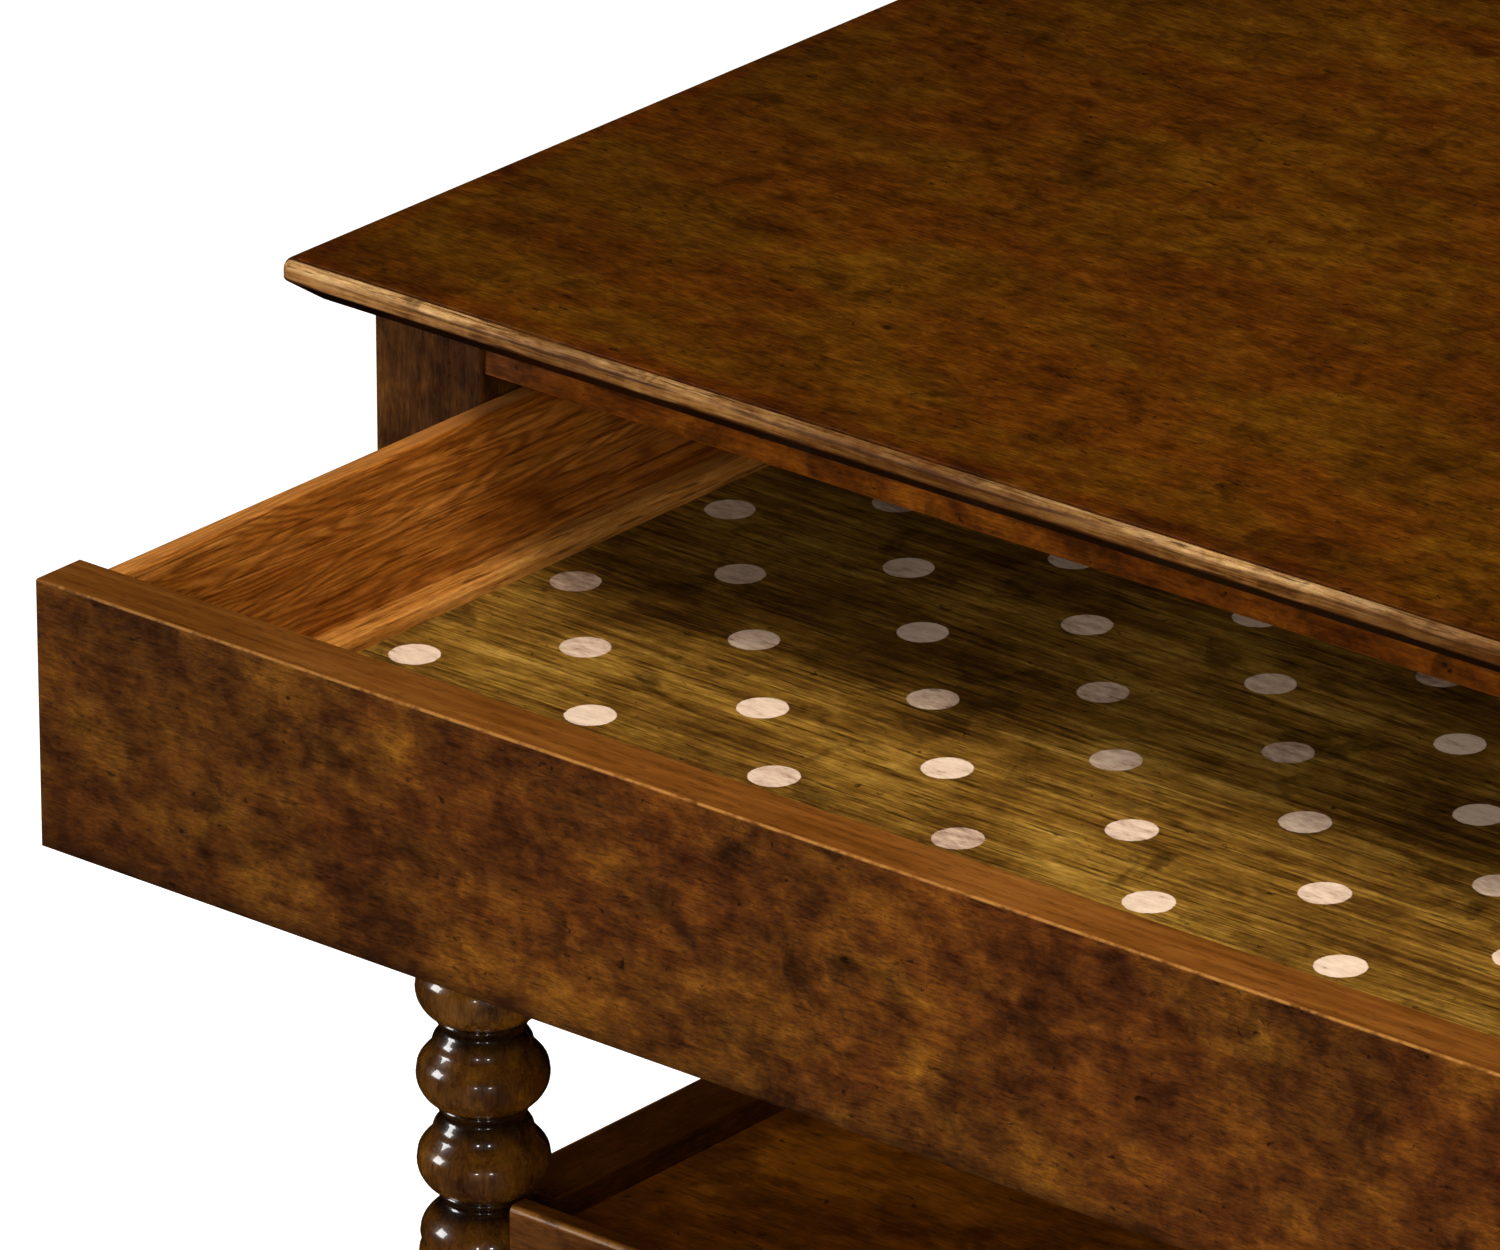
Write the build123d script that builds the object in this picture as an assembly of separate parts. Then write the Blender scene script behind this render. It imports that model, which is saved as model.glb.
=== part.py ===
from build123d import *
import math
import os

os.makedirs("parts", exist_ok=True)

# ---------------------------------------------------------------------------
# Games table with bobbin-turned legs, a full-width drawer and a low shelf tray
# Millimetres. Origin on the floor under the centre of the top.
# X runs along the drawer front, Y towards the back, Z up.
# The drawer is modelled standing open by OPEN; sliding it by -OPEN shuts it.
# ---------------------------------------------------------------------------

# overall
W, D, H = 1067.0, 762.0, 762.0
OVER = 28.0            # overhang of the top past the legs' outer faces
LEG = 58.0             # square block of a leg
TOP_T = 18.0           # full thickness of the top
EDGE_H = 9.0           # height of the edge that shows before the under-bevel
MOULD = 14.0           # width of the solid edge moulding
CORNER_R = 8.0         # plan rounding of the top's corners
BOT = H - TOP_T        # 744, underside of the top

LX = W / 2 - OVER      # 505.5 outer face of the legs
LY = D / 2 - OVER      # 353
AX, AY = LX - LEG / 2, LY - LEG / 2     # 476.5, 324 leg axes
IX, IY = LX - LEG, LY - LEG             # 447.5, 295 inner faces of the blocks

# drawer
OPEN = 268.0           # how far the drawer stands open as modelled
TRAVEL_MORE = 150.0    # further travel to the pull-out stops
FRONT_H, FRONT_T = 114.0, 26.0
FRONT_TOP = 722.5
FRONT_X = IX - 1.5     # half length of the drawer front
INSET = 1.5            # shut front behind the legs' faces
SIDE_T, BACK_T = 10.0, 12.0
SIDE_TOP = FRONT_TOP - 8.0
SIDE_BOT = 631.5
SIDE_X = 445.0
PANEL_T = 6.0
PANEL_TOP = 643.5
SLIP_W, SLIP_TOP = 11.0, 651.5
DRAWER_L = 671.0
YF = -LY + INSET - OPEN          # front face of the drawer as modelled
YFB = YF + FRONT_T               # back face of the drawer front
YB = YF + DRAWER_L               # rear face of the drawer back
LAP = 18.0                       # length of the lapped dovetails

# rails and aprons
UP_RAIL_BOT = 724.0
RAIL_D = 50.0
LOW_RAIL_H = 22.0
LOW_RAIL_TOP = SIDE_BOT - 0.3
APRON_T, APRON_BOT = 22.0, 600.0
APRON_IN = 3.0                   # aprons set back from the legs' outer faces
TEN_L, TEN_T = 20.0, 10.0

# turned legs
PERIOD = 39.2
CREASE0 = 423.4                  # one crease between bobbins, above the floor
N_ABOVE, N_BELOW = 4, 10
BLOCK_BOT = CREASE0 + N_ABOVE * PERIOD   # 582.2
GLIDE_H = 4.0

# shelf
SHELF_RAIL_T = 32.0
SEAT = 27.8                      # rails' shoulders, from the leg's axis
FRONT_RAIL_TOP, SIDE_RAIL_TOP = 350.0, 334.0
FRONT_RAIL_BOT, SIDE_RAIL_BOT = 296.0, 288.0
LIP = 11.0
SHELF_TOP, SHELF_T = 322.5, 10.0


def box(x0, x1, y0, y1, z0, z1):
    return Pos((x0 + x1) / 2, (y0 + y1) / 2, (z0 + z1) / 2) * Box(
        abs(x1 - x0), abs(y1 - y0), abs(z1 - z0))


def prism_x(pts, x0, x1):
    """A polygon given as (y, z), run along X."""
    f = Face(Wire.make_polygon([Vector(x0, y, z) for y, z in pts], close=True))
    return Solid.extrude(f, Vector(x1 - x0, 0, 0))


def prism_y(pts, y0, y1):
    """A polygon given as (x, z), run along Y."""
    f = Face(Wire.make_polygon([Vector(x, y0, z) for x, z in pts], close=True))
    return Solid.extrude(f, Vector(0, y1 - y0, 0))


def prism_z(pts, z0, z1):
    f = Face(Wire.make_polygon([Vector(x, y, z0) for x, y in pts], close=True))
    return Solid.extrude(f, Vector(0, 0, z1 - z0))


def rod(p, d, r, h):
    """A cylinder from p along d."""
    return Solid.make_cylinder(r, h, Plane(origin=p, z_dir=d))


def screw(p, d, length, head_r=4.0, r=2.0, head_h=3.0):
    """A countersunk wood screw: p is the centre of its head, d the way it points."""
    pl = Plane(origin=p, z_dir=d)
    head = Solid.make_cone(head_r, r, head_h, pl)
    shank = Solid.make_cylinder(r, length - 4.0, pl)
    tip = Solid.make_cone(r, 0.4, 4.0, Plane(origin=Vector(*p) + Vector(*d).normalized() * (length - 4.0), z_dir=d))
    slot = Pos(0, 0, 0) * Box(1.2, 2 * head_r + 2, 2.0)
    slot = Plane(origin=p, z_dir=d).location * slot
    return (head + shank + tip) - slot


def cutter(p, d, length, head_r=4.0, r=2.0, head_h=3.0):
    """The hole that the screw fills: countersink, shank and point."""
    pl = Plane(origin=p, z_dir=d)
    head = Solid.make_cone(head_r, r, head_h, pl)
    shank = Solid.make_cylinder(r, length - 4.0, pl)
    tip = Solid.make_cone(r, 0.4, 4.0, Plane(origin=Vector(*p) + Vector(*d).normalized() * (length - 4.0), z_dir=d))
    return head + shank + tip


P = {}


def soft_edges(shape, edges, r):
    """Rounds each edge that will take the radius."""
    try:
        return shape.fillet(r, edges)
    except Exception:
        return shape


# ---------------------------------------------------------------------------
# Top: a veneered panel with four mitred edge mouldings
# ---------------------------------------------------------------------------
lower = extrude(RectangleRounded(W, D, CORNER_R), H - 1.0 - BOT)
lower = Pos(0, 0, BOT) * lower
top_loop = [e for e in lower.edges() if abs(e.center().Z - (H - 1.0)) < 0.01]
lower = lower.fillet(4.2, top_loop)
# reverse bevel: 9 up the edge and 12 in along the underside
outer = Pos(0, 0, BOT - 1) * extrude(RectangleRounded(W + 40, D + 40, CORNER_R + 20), EDGE_H + 1)
inner = loft([
    Pos(0, 0, BOT - 1) * RectangleRounded(W - 2 * 12.0 - 2 * 12.0 / EDGE_H, D - 2 * 12.0 - 2 * 12.0 / EDGE_H, 3.0),
    Pos(0, 0, BOT + EDGE_H) * RectangleRounded(W, D, CORNER_R),
])
bevel_cut = outer - inner
lower = lower - bevel_cut
arris = [e for e in lower.edges() if abs(e.center().Z - (BOT + EDGE_H)) < 0.01]
lower = soft_edges(lower, arris, 0.7)
field_in = 4.6
field = Pos(0, 0, H - 1.0) * extrude(RectangleRounded(W - 2 * field_in, D - 2 * field_in, CORNER_R - 3.0), 1.0)
field_top = [e for e in field.edges() if abs(e.center().Z - H) < 0.01]
field = field.fillet(0.5, field_top)
# the quirk: a narrow groove at the foot of the field
quirk = Pos(0, 0, H - 1.7) * (
    extrude(RectangleRounded(W - 2 * 3.9, D - 2 * 3.9, CORNER_R - 2.5), 2.0)
    - extrude(RectangleRounded(W - 2 * field_in, D - 2 * field_in, CORNER_R - 3.0), 2.0))
blank = lower + field - quirk

px, py = W / 2 - MOULD, D / 2 - MOULD
panel_box = box(-px, px, -py, py, BOT - 1, H + 1)
tongue = box(-px - 5, px + 5, -py - 5, py + 5, BOT + 6, BOT + 12)
top_panel = (blank & panel_box) + (blank & tongue)
ring = blank - panel_box - tongue
far = 900.0
wedge = {
    "top_edge_front": [(-px, -py), (px, -py), (px + far, -py - far), (-px - far, -py - far)],
    "top_edge_back": [(-px, py), (px, py), (px + far, py + far), (-px - far, py + far)],
    "top_edge_left": [(-px, -py), (-px, py), (-px - far, py + far), (-px - far, -py - far)],
    "top_edge_right": [(px, -py), (px, py), (px + far, py + far), (px + far, -py - far)],
}
for name, pts in wedge.items():
    P[name] = ring & prism_z(pts, BOT - 5, H + 5)

# ---------------------------------------------------------------------------
# Legs
# ---------------------------------------------------------------------------
# one bobbin, as (distance below its upper crease, radius): a small bead, the neck,
# a shoulder, a shallow hollow and the bulb
BEAD = [(0.0, 18.7), (0.9, 19.2), (2.0, 19.1), (2.9, 18.4)]
BODY = [(2.9, 18.4), (4.6, 17.7), (6.6, 18.6), (8.4, 20.1), (10.2, 21.0), (11.7, 21.3), (13.0, 21.7), (14.6, 22.9),
        (17.0, 25.2), (20.0, 27.1), (23.0, 27.8), (25.4, 28.0), (28.4, 27.7), (31.4, 26.7), (34.0, 25.2), (36.2, 23.4),
        (38.0, 21.0), (39.2, 18.7)]
# the bobbin at shelf level has a large shoulder, so the rails have wood to meet
BODY_SHELF = [(2.9, 18.4), (4.6, 17.1), (6.4, 18.2), (8.2, 20.5), (10.8, 23.2), (14.0, 25.5), (17.4, 26.6), (20.4, 26.8),
              (22.6, 26.3), (23.9, 26.2), (25.6, 26.8), (28.4, 27.4), (31.4, 26.7), (34.0, 25.2), (36.2, 23.4),
              (38.0, 21.0), (39.2, 18.7)]


def leg_turning():
    """The turned part as a solid of revolution about Z."""
    z0 = BLOCK_BOT
    n = N_ABOVE + N_BELOW
    segs = []
    for i in range(n):
        top = z0 - i * PERIOD
        body = BODY_SHELF if abs(top - (CREASE0 - 2 * PERIOD)) < 1 else BODY
        segs.append([(r, top - d) for d, r in BEAD])
        segs.append([(r, top - d) for d, r in body])
    foot_top = z0 - n * PERIOD        # 33.4
    segs.append([(18.7, foot_top), (19.2, foot_top - 0.9), (19.1, foot_top - 2.0), (18.4, foot_top - 2.9)])
    segs.append([(18.4, foot_top - 2.9), (17.4, foot_top - 5.2), (19.0, foot_top - 8.0), (22.6, foot_top - 12.0),
                 (24.4, foot_top - 16.5), (24.6, foot_top - 19.5), (23.4, foot_top - 24.5), (20.5, GLIDE_H)])
    edges = []
    for s in segs:
        edges.append(Edge.make_spline([Vector(r, 0, z) for r, z in s]))
    start = segs[0][0]
    edges.append(Edge.make_line(Vector(0, 0, z0), Vector(start[0], 0, start[1])))
    end = segs[-1][-1]
    edges.append(Edge.make_line(Vector(end[0], 0, end[1]), Vector(0, 0, end[1])))
    edges.append(Edge.make_line(Vector(0, 0, end[1]), Vector(0, 0, z0)))
    return Solid.revolve(Face(Wire(edges)), 360, Axis.Z)


turning = leg_turning()
# block with lathe-cut shoulders below it
PM = 596.0
block = box(-LEG / 2, LEG / 2, -LEG / 2, LEG / 2, BLOCK_BOT, BOT)
shoulder_edges = [
    Edge.make_line(Vector(0, 0, BLOCK_BOT), Vector(18.7, 0, BLOCK_BOT)),
    Edge.make_spline([Vector(18.7, 0, BLOCK_BOT), Vector(21.5, 0, BLOCK_BOT + 0.9), Vector(25.2, 0, BLOCK_BOT + 2.6),
                      Vector(28.2, 0, BLOCK_BOT + 5.2)]),
    Edge.make_line(Vector(28.2, 0, BLOCK_BOT + 5.2), Vector(28.2, 0, BLOCK_BOT + 6.2)),
    Edge.make_spline([Vector(28.2, 0, BLOCK_BOT + 6.2), Vector(32.6, 0, BLOCK_BOT + 7.4), Vector(37.6, 0, BLOCK_BOT + 10.2),
                      Vector(41.6, 0, BLOCK_BOT + 14.4)]),
    Edge.make_line(Vector(41.6, 0, BLOCK_BOT + 14.4), Vector(41.6, 0, BOT)),
    Edge.make_line(Vector(41.6, 0, BOT), Vector(0, 0, BOT)),
    Edge.make_line(Vector(0, 0, BOT), Vector(0, 0, BLOCK_BOT)),
]
shoulder = Solid.revolve(Face(Wire(shoulder_edges)), 360, Axis.Z)
v_edges = [e for e in block.edges() if abs(e.tangent_at(0.5).Z) > 0.9]
block = block.fillet(1.5, v_edges) & shoulder
leg_blank = block + turning

aprons_y_out = LX - APRON_IN
mortises = {}
T_LO, T_HI = 312.0, 333.0        # shelf rails' tenons
LEGS = {"leg_front_left": (-1, -1), "leg_front_right": (1, -1), "leg_back_left": (-1, 1), "leg_back_right": (1, 1)}
for name, (sx, sy) in LEGS.items():
    cx, cy = sx * AX, sy * AY
    leg = Pos(cx, cy, 0) * leg_blank
    # side apron tenon, along Y
    ax0, ax1 = sx * (aprons_y_out - APRON_T / 2 - TEN_T / 2), sx * (aprons_y_out - APRON_T / 2 + TEN_T / 2)
    leg = leg - box(min(ax0, ax1), max(ax0, ax1), min(sy * IY, sy * (IY + TEN_L)), max(sy * IY, sy * (IY + TEN_L)),
                    APRON_BOT + 16, BOT - 14)
    xa, xb = sorted((sx * IX, sx * (IX + TEN_L)))
    if sy < 0:
        # upper and lower front rails, along X
        leg = leg - box(xa, xb, -LY + 8, -LY + 38, UP_RAIL_BOT + 4, BOT - 4)
        leg = leg - box(xa, xb, -LY + 32, -LY + 54, LOW_RAIL_TOP - LOW_RAIL_H + 5, LOW_RAIL_TOP - 5)
    else:
        yc = LY - APRON_IN - APRON_T / 2
        leg = leg - box(xa, xb, yc - TEN_T / 2, yc + TEN_T / 2, APRON_BOT + 16, BOT - 14)
    # shelf rails: a flat seat cut on the bobbin, then the mortise
    seat_x0, seat_x1 = sorted((sx * (AX - SEAT), sx * (AX - 60)))
    leg = leg - box(seat_x0, seat_x1, cy - SHELF_RAIL_T / 2, cy + SHELF_RAIL_T / 2, FRONT_RAIL_BOT, FRONT_RAIL_TOP)
    seat_y0, seat_y1 = sorted((sy * (AY - SEAT), sy * (AY - 60)))
    leg = leg - box(cx - SHELF_RAIL_T / 2, cx + SHELF_RAIL_T / 2, seat_y0, seat_y1, SIDE_RAIL_BOT, SIDE_RAIL_TOP)
    tx0, tx1 = sorted((sx * (AX - SEAT - 1), sx * (AX - 9)))
    leg = leg - box(tx0, tx1, cy - 5, cy + 5, T_LO - 6, SHELF_TOP - SHELF_T)
    ty0, ty1 = sorted((sy * (AY - SEAT - 1), sy * (AY - 9)))
    leg = leg - box(cx - 5, cx + 5, ty0, ty1, T_LO, T_HI)
    # pilot for the glide's pin
    leg = leg - Pos(cx, cy, GLIDE_H) * Cylinder(2.5, 16, align=(Align.CENTER, Align.CENTER, Align.MIN))
    P[name] = leg

glides = []
for sx, sy in LEGS.values():
    g = Cylinder(13.5, GLIDE_H, align=(Align.CENTER, Align.CENTER, Align.MIN))
    low = [e for e in g.edges() if abs(e.center().Z) < 0.01]
    g = g.fillet(1.4, low) + Pos(0, 0, GLIDE_H) * Cylinder(2.5, 16, align=(Align.CENTER, Align.CENTER, Align.MIN))
    glides.append(Pos(sx * AX, sy * AY, 0) * g)
P["foot_glides"] = Compound(children=glides)

# ---------------------------------------------------------------------------
# Frame under the top
# ---------------------------------------------------------------------------
yr0, yr1 = -LY + 1.5, -LY + 1.5 + RAIL_D
rail = box(-IX, IX, yr0, yr1, UP_RAIL_BOT, BOT)
fe = [e for e in rail.edges() if abs(e.center().Y - yr0) < 0.01 and abs(e.center().Z - UP_RAIL_BOT) < 0.01]
rail = rail.fillet(0.8, fe)
rail = rail + box(-IX - TEN_L, -IX, -LY + 8, -LY + 38, UP_RAIL_BOT + 4, BOT - 4)
rail = rail + box(IX, IX + TEN_L, -LY + 8, -LY + 38, UP_RAIL_BOT + 4, BOT - 4)
P["rail_front_upper"] = rail

ly0, ly1 = -LY + INSET + FRONT_T + 0.5, -LY + INSET + FRONT_T + 0.5 + RAIL_D
lrail = box(-IX, IX, ly0, ly1, LOW_RAIL_TOP - LOW_RAIL_H, LOW_RAIL_TOP)
lrail = lrail + box(-IX - TEN_L, -IX, -LY + 32, -LY + 54, LOW_RAIL_TOP - LOW_RAIL_H + 5, LOW_RAIL_TOP - 5)
lrail = lrail + box(IX, IX + TEN_L, -LY + 32, -LY + 54, LOW_RAIL_TOP - LOW_RAIL_H + 5, LOW_RAIL_TOP - 5)

apron_x0, apron_x1 = LX - APRON_IN - APRON_T, LX - APRON_IN
for name, s in (("apron_left", -1), ("apron_right", 1)):
    x0, x1 = sorted((s * apron_x0, s * apron_x1))
    a = box(x0, x1, -IY, IY, APRON_BOT, BOT)
    low = [e for e in a.edges() if abs(e.center().Z - APRON_BOT) < 0.01 and abs(e.tangent_at(0.5).Y) > 0.9]
    a = a.fillet(1.2, low)
    xc = (x0 + x1) / 2
    for sy in (-1, 1):
        y0, y1 = sorted((sy * IY, sy * (IY + TEN_L)))
        a = a + box(xc - TEN_T / 2, xc + TEN_T / 2, y0, y1, APRON_BOT + 16, BOT - 14)
    P[name] = a
bk0, bk1 = LY - APRON_IN - APRON_T, LY - APRON_IN
a = box(-IX, IX, bk0, bk1, APRON_BOT, BOT)
low = [e for e in a.edges() if abs(e.center().Z - APRON_BOT) < 0.01 and abs(e.tangent_at(0.5).X) > 0.9]
a = a.fillet(1.2, low)
yc = (bk0 + bk1) / 2
for s in (-1, 1):
    x0, x1 = sorted((s * IX, s * (IX + TEN_L)))
    a = a + box(x0, x1, yc - TEN_T / 2, yc + TEN_T / 2, APRON_BOT + 16, BOT - 14)
apron_back = a

# runners, guides and kickers, screwed to the side aprons
runner_in, kicker_in = 425.0, 415.0
runner_screws, kicker_screws = [], []
for tag, s in (("left", -1), ("right", 1)):
    x0, x1 = sorted((s * runner_in, s * apron_x0))
    r = box(x0, x1, ly1, IY - 0.3, LOW_RAIL_TOP - LOW_RAIL_H, LOW_RAIL_TOP)
    tx0, tx1 = sorted((s * (runner_in + 8), s * (IX - 6)))
    t = box(tx0, tx1, ly1 - 10, ly1, LOW_RAIL_TOP - 15, LOW_RAIL_TOP - 7)
    r = r + t
    lrail = lrail - t
    g0, g1 = sorted((s * (SIDE_X + 1.3), s * apron_x0))
    g = box(g0, g1, ly1, IY - 0.3, LOW_RAIL_TOP, LOW_RAIL_TOP + 20)
    k0, k1 = sorted((s * kicker_in, s * apron_x0))
    k = box(k0, k1, -IY + 0.3, IY - 0.3, SIDE_TOP + 0.8, BOT)
    for y in (-230.0, 0.0, 230.0):
        # runner screws go outward into the apron, below the drawer side
        p, d = (s * (runner_in), y, LOW_RAIL_TOP - 12), (s, 0, 0)
        runner_screws.append((p, d, 72.0))
    for y in (-250.0, 0.0, 250.0):
        p, d = (s * 462.0, y, SIDE_TOP + 0.8), (0, 0, 1)
        kicker_screws.append((p, d, 40.0))
    for p, d, L in runner_screws:
        if p[0] * s > 0:
            c = cutter(p, d, L)
            r = r - c
            P["apron_" + tag] = P["apron_" + tag] - c
    for p, d, L in kicker_screws:
        if p[0] * s > 0:
            c = cutter(p, d, L)
            k = k - c
            top_panel = top_panel - c
    P["runner_" + tag], P["drawer_guide_" + tag] = r, g
    P["_kicker_" + tag] = k

# the bearer across the middle, and the stops under it
inner_back_open = (YB - BACK_T) - TRAVEL_MORE     # inner face of the drawer back at full travel
by1 = inner_back_open - 0.3
by0 = by1 - 60.0
bearer = box(-kicker_in, kicker_in, by0, by1, BOT - 24, BOT)
for s in (-1, 1):
    x0, x1 = sorted((s * kicker_in, s * (kicker_in + 8)))
    t = box(x0, x1, by0 + 8, by1 - 8, BOT - 18, BOT - 8)
    bearer = bearer + t
    P["_kicker_" + ("left" if s < 0 else "right")] -= t
stop_blocks, stop_screws = [], []
for x in (-200.0, 200.0):
    b = box(x - 30, x + 30, by1 - 40, by1, 696.0, BOT - 24)
    for dx in (-16.0, 16.0):
        p, d = (x + dx, by1 - 20, 696.0), (0, 0, 1)
        stop_screws.append((p, d, 40.0))
        c = cutter(p, d, 40.0)
        b = b - c
        bearer = bearer - c
    stop_blocks.append(b)
bearer_screws = []
for x in (-330.0, 0.0, 330.0):
    p, d = (x, (by0 + by1) / 2, BOT - 24), (0, 0, 1)
    bearer_screws.append((p, d, 36.0))
    c = cutter(p, d, 36.0)
    bearer = bearer - c
    top_panel = top_panel - c
P["top_cross_bearer"] = bearer
P["kicker_left"], P["kicker_right"] = P.pop("_kicker_left"), P.pop("_kicker_right")
P["pull_out_stops"] = Compound(children=stop_blocks)
rail_screws = []
ru = P["rail_front_upper"]
for x in (-300.0, 0.0, 300.0):
    p, d = (x, yr0 + 30, UP_RAIL_BOT), (0, 0, 1)
    rail_screws.append((p, d, 32.0))
    c = cutter(p, d, 32.0)
    ru = ru - c
    top_panel = top_panel - c
P["rail_front_upper"] = ru
P["runner_screws"] = Compound(children=[screw(*q) for q in runner_screws])
P["top_fixing_screws"] = Compound(children=[screw(*q) for q in kicker_screws + bearer_screws + rail_screws])
P["stop_screws"] = Compound(children=[screw(*q) for q in stop_screws])

# closing stops pinned on the lower rail: the drawer front's back face meets them
shut_back = -LY + INSET + FRONT_T
stops = []
for x in (-250.0, 250.0):
    b = box(x - 30, x + 30, shut_back + 0.3, shut_back + 40, LOW_RAIL_TOP, LOW_RAIL_TOP + 5.0)
    for dx in (-18.0, 18.0):
        pin = Pos(x + dx, shut_back + 22, LOW_RAIL_TOP - 9) * Cylinder(1.2, 14.0, align=(Align.CENTER, Align.CENTER, Align.MIN))
        b = b + pin
    stops.append(b)
    lrail = lrail - b
P["closing_stops"] = Compound(children=stops)
P["rail_front_lower"] = lrail

# wooden buttons hold the top to the back apron
buttons, button_screws = [], []
for x in (-330.0, 0.0, 330.0):
    b = box(x - 14, x + 14, bk0 - 34, bk0, BOT - 16, BOT) + box(x - 14, x + 14, bk0, bk0 + 8, BOT - 16, BOT - 9)
    apron_back = apron_back - box(x - 14, x + 14, bk0, bk0 + 8, BOT - 16, BOT - 9)
    p, d = (x, bk0 - 18, BOT - 16), (0, 0, 1)
    button_screws.append((p, d, 28.0))
    c = cutter(p, d, 28.0)
    b = b - c
    top_panel = top_panel - c
    buttons.append(b)
P["apron_back"] = apron_back
P["top_buttons"] = Compound(children=buttons)
P["top_button_screws"] = Compound(children=[screw(*q) for q in button_screws])
P["top_panel"] = top_panel

# ---------------------------------------------------------------------------
# Shelf
# ---------------------------------------------------------------------------
hx = AX - SEAT                      # half length between shoulders
hy = AY - SEAT
ht = SHELF_RAIL_T / 2
SHELF_BOT = SHELF_TOP - SHELF_T
def rounded_x(pts, radii, x0, x1):
    """A (y, z) polygon run along X, with a radius at each corner (0 leaves it sharp)."""
    n = len(pts)
    edges, ends = [], []
    for i in range(n):
        p0, p, p2 = Vector(x0, *pts[i - 1]), Vector(x0, *pts[i]), Vector(x0, *pts[(i + 1) % n])
        r = radii[i]
        if r <= 0:
            ends.append((p, p, None))
            continue
        u, v = (p0 - p).normalized(), (p2 - p).normalized()
        half = math.acos(max(-1.0, min(1.0, u.dot(v)))) / 2
        t = r / math.tan(half)
        c = p + (u + v).normalized() * (r / math.sin(half))
        ends.append((p + u * t, p + v * t, c + (p - c).normalized() * r))
    for i in range(n):
        a_, b_, m_ = ends[i]
        if m_ is not None:
            edges.append(Edge.make_three_point_arc(a_, m_, b_))
        edges.append(Edge.make_line(b_, ends[(i + 1) % n][0]))
    return Solid.extrude(Face(Wire(edges)), Vector(x1 - x0, 0, 0))


for name, s in (("shelf_rail_front", -1), ("shelf_rail_back", 1)):
    yo, yi = s * (AY + ht), s * (AY - ht)
    yl = yo - s * LIP
    r = rounded_x([(yo, FRONT_RAIL_BOT), (yo, FRONT_RAIL_TOP), (yl, FRONT_RAIL_TOP), (yl, SHELF_BOT), (yi, SHELF_BOT),
                   (yi, FRONT_RAIL_BOT)], [1.5, 3.2, 1.5, 0, 0, 1.0], -hx, hx)
    yc = s * AY
    # the tenons stand on the end faces, in line with the leg's axis
    for sx in (-1, 1):
        x0, x1 = sorted((sx * (hx - 12), sx * (AX - 9)))
        y0, y1 = yc - 5, yc + 5
        stub = box(x0, x1, y0, y1, T_LO - 6, SHELF_BOT)
        r = r + stub
    P[name] = r
for name, s in (("shelf_rail_left", -1), ("shelf_rail_right", 1)):
    x0, x1 = sorted((s * (AX + ht), s * (AX - ht)))
    r = box(x0, x1, -hy, hy, SIDE_RAIL_BOT, SIDE_RAIL_TOP)
    e_top = [e for e in r.edges() if abs(e.tangent_at(0.5).Y) > 0.9]
    r = soft_edges(r, e_top, 1.5)
    for sy in (-1, 1):
        y0, y1 = sorted((sy * hy, sy * (AY - 9)))
        r = r + box(s * AX - 5, s * AX + 5, y0, y1, T_LO, T_HI)
    P[name] = r

sp_x = AX - ht - 0.3
sp_y = AY + ht - LIP - 0.3
panel = box(-sp_x, sp_x, -sp_y, sp_y, SHELF_BOT, SHELF_TOP)
for sx, sy in LEGS.values():
    panel = panel - Pos(sx * AX, sy * AY, SHELF_BOT - 1) * Cylinder(30.0, SHELF_T + 2, align=(Align.CENTER, Align.CENTER, Align.MIN))
# cleats under the panel's ends, and a stiffener across its middle
cleat_screws = []
for tag, s in (("left", -1), ("right", 1)):
    c0, c1 = sorted((s * (AX - ht), s * (AX - ht - 18)))
    c = box(c0, c1, -hy + 2, hy - 2, SHELF_BOT - 18, SHELF_BOT)
    for y in (-220.0, 0.0, 220.0):
        p, d = (s * (AX - ht - 18), y + 12, SHELF_BOT - 9), (s, 0, 0)
        q = cutter(p, d, 38.0)
        cleat_screws.append((p, d, 38.0))
        c = c - q
        P["shelf_rail_" + tag] -= q
        p, d = (s * (AX - ht - 9), y - 12, SHELF_BOT - 18), (0, 0, 1)
        q = cutter(p, d, 25.0)
        cleat_screws.append((p, d, 25.0))
        c = c - q
        panel = panel - q
    P["shelf_cleat_" + tag] = c
stiff = box(-22, 22, -(AY - ht), AY - ht, SHELF_BOT - 15, SHELF_BOT)
for y in (-200.0, 0.0, 200.0):
    p, d = (0, y, SHELF_BOT - 15), (0, 0, 1)
    q = cutter(p, d, 22.0)
    cleat_screws.append((p, d, 22.0))
    stiff = stiff - q
    panel = panel - q
for s in (-1, 1):
    y0, y1 = sorted((s * (AY - ht), s * (AY - ht + 8)))
    t = box(-14, 14, y0, y1, SHELF_BOT - 12, SHELF_BOT - 4)
    stiff = stiff + t
    P["shelf_rail_front" if s < 0 else "shelf_rail_back"] -= t
P["shelf_stiffener"] = stiff
P["shelf_panel"] = panel
P["shelf_screws"] = Compound(children=[screw(*q) for q in cleat_screws])

# ---------------------------------------------------------------------------
# Drawer
# ---------------------------------------------------------------------------
FB = FRONT_TOP - FRONT_H
front = box(-FRONT_X, FRONT_X, YF, YFB, FB, FRONT_TOP)
front = front.fillet(1.3, [e for e in front.edges() if abs(e.center().Y - YF) < 0.01 or abs(e.center().Z - FRONT_TOP) < 0.01])
# finger pull routed along the lower back arris
pull = Pos(0, YFB, FB) * (Rotation(0, 90, 0) * Cylinder(13.0, 2 * (FRONT_X - 60)))
front = front - pull
# groove for the bottom
front = front - box(-430, 430, YFB - 6, YFB + 1, PANEL_TOP - PANEL_T, PANEL_TOP)


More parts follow.
